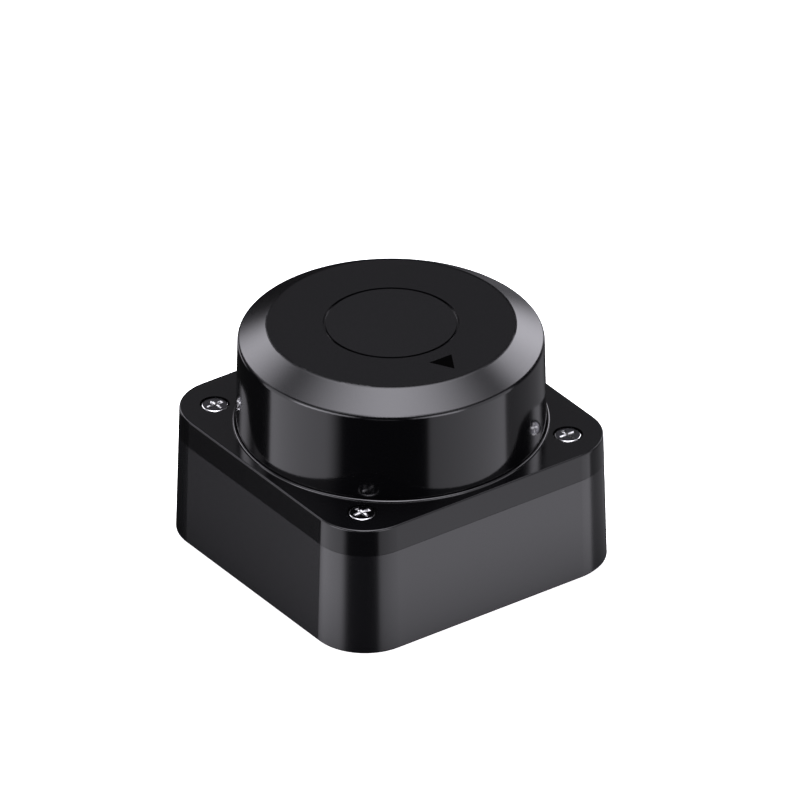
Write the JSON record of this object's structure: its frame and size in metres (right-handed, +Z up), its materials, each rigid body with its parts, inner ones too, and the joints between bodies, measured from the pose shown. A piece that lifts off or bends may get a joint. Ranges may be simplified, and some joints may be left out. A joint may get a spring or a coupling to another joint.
{
  "type": "lidar sensor",
  "caption": "Compact scanning lidar: square drafted base, screwed lid band and a fixed round black window over a motor-driven scanner with two lens barrels.",
  "frame": {"origin": "middle of the underside, on the surface that the sensor is screwed to", "axes": "+Z up along the scanner's spin axis; -Y the front, where the triangle mark points; +Y the connector"},
  "size_m": [0.0556, 0.0556, 0.0413],
  "materials": {
    "base_plastic": "satin black moulded plastic",
    "lid_plastic": "satin black moulded plastic",
    "window_plastic": "polished black infrared-pass plastic",
    "disc_plastic": "fine matte black plastic",
    "screw_steel": "bright nickel-plated steel",
    "gasket_rubber": "black silicone rubber",
    "insert_brass": "turned brass",
    "board_laminate": "green solder mask on glass laminate",
    "chip_resin": "black moulding resin",
    "connector_nylon": "natural nylon",
    "pin_brass": "tin-plated brass",
    "turned_aluminium": "turned aluminium",
    "bearing_steel": "ground bearing steel",
    "core_iron": "stacked electrical sheet",
    "coil_copper": "enamelled copper wire",
    "bell_steel": "nickel-plated steel",
    "magnet_ferrite": "coated magnet",
    "inner_plastic": "matte black moulded plastic",
    "lens_glass": "polished glass",
    "ring_aluminium": "black anodised aluminium"
  },
  "bodies": {
    "base": {"base_housing": "base_plastic", "top_cover": "lid_plastic", "window_dome": "window_plastic", "top_disc": "disc_plastic", "lid_screws": "screw_steel", "board_screws": "screw_steel", "motor_screws": "screw_steel", "lid_gasket": "gasket_rubber", "mounting_inserts": "insert_brass", "main_board": "board_laminate", "processor_chip": "chip_resin", "driver_chips": "chip_resin", "link_receiver": "chip_resin", "interface_connector": "connector_nylon", "connector_pins": "pin_brass", "motor_mount": "turned_aluminium", "lower_bearing": "bearing_steel", "upper_bearing": "bearing_steel", "stator_core": "core_iron", "stator_windings": "coil_copper", "power_coil": "coil_copper", "coil_carrier": "inner_plastic", "encoder_sensor": "inner_plastic"},
    "scanner": {"motor_shaft": "bearing_steel", "retaining_clip": "bearing_steel", "rotor_bell": "bell_steel", "rotor_magnet": "magnet_ferrite", "scanner_deck": "turned_aluminium", "deck_screws": "screw_steel", "encoder_ring": "inner_plastic", "pickup_coil": "coil_copper", "rotor_board": "board_laminate", "link_emitter": "chip_resin", "ranging_chip": "chip_resin", "lens_holder": "inner_plastic", "holder_screws": "screw_steel", "receive_lens": "lens_glass", "receive_lens_ring": "ring_aluminium", "transmit_lens": "lens_glass", "transmit_lens_ring": "ring_aluminium", "receiver_board": "board_laminate", "receiver_sensor": "chip_resin", "laser_board": "board_laminate", "laser_diode": "bearing_steel", "sensor_board_screws": "screw_steel", "balance_weight": "insert_brass"}
  },
  "joints": [
    {"name": "scanner_spin", "type": "hinge", "parent": "base", "child": "scanner", "pos_m": [0, 0, 0], "axis": [0, 0, 1], "continuous": true}
  ]
}
